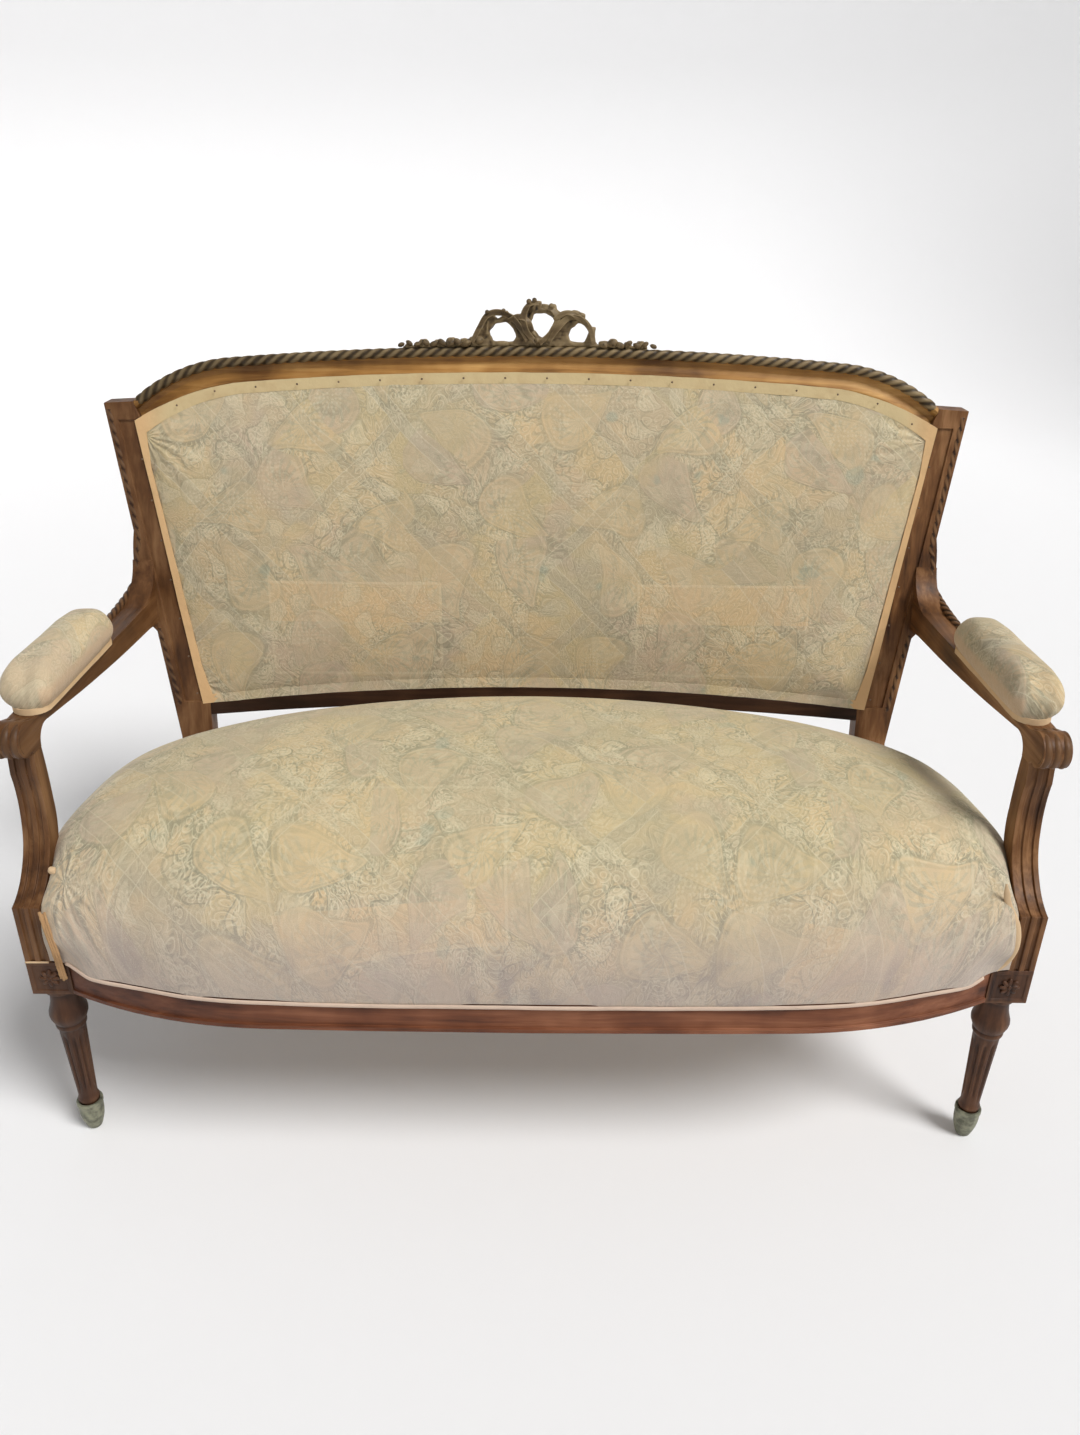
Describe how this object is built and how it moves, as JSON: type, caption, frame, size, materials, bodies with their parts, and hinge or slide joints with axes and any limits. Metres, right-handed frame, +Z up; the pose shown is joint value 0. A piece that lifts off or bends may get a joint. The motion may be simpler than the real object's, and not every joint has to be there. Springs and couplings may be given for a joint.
{
  "type": "settee",
  "caption": "Upholstered settee with a carved show-wood frame, a raked padded back, a sprung seat and padded open arms.",
  "frame": {"origin": "on the floor under the middle of the whole settee", "axes": "+Z up; the front faces -Y; +X is to the right seen from the front"},
  "size_m": [1.306, 0.6888, 1.0449],
  "materials": {
    "show_wood": "worn satin polish",
    "plain_beech": "raw",
    "foot_brass": "tarnished",
    "cover_cloth": "woven paisley",
    "band_cloth": "plain cotton",
    "stuffing": "hair and fibre",
    "hessian": "plain weave",
    "jute_webbing": "herringbone weave",
    "spring_wire": "coppered wire"
  },
  "bodies": {
    "root": {"front_leg_left": "show_wood", "front_leg_right": "show_wood", "front_rail": "show_wood", "side_rail_left": "show_wood", "side_rail_right": "show_wood", "back_post_left": "show_wood", "back_post_right": "show_wood", "top_rail": "show_wood", "lower_back_rail": "show_wood", "crest_carving": "show_wood", "arm_support_left": "show_wood", "arm_support_right": "show_wood", "arm_left": "show_wood", "arm_right": "show_wood", "rear_rail": "plain_beech", "corner_blocks": "plain_beech", "foot_cups": "foot_brass", "seat_cover": "cover_cloth", "back_cover": "cover_cloth", "arm_pad_covers": "cover_cloth", "outside_back_cover": "cover_cloth", "seat_edge_band": "band_cloth", "back_edge_band": "band_cloth", "arm_pad_bands": "band_cloth", "seat_stuffing": "stuffing", "back_pad": "stuffing", "arm_pad_left": "stuffing", "arm_pad_right": "stuffing", "spring_hessian": "hessian", "back_hessian": "hessian", "seat_webbing_long": "jute_webbing", "seat_webbing_cross": "jute_webbing", "back_webbing_upright": "jute_webbing", "back_webbing_cross": "jute_webbing", "seat_springs": "spring_wire"}
  },
  "joints": []
}
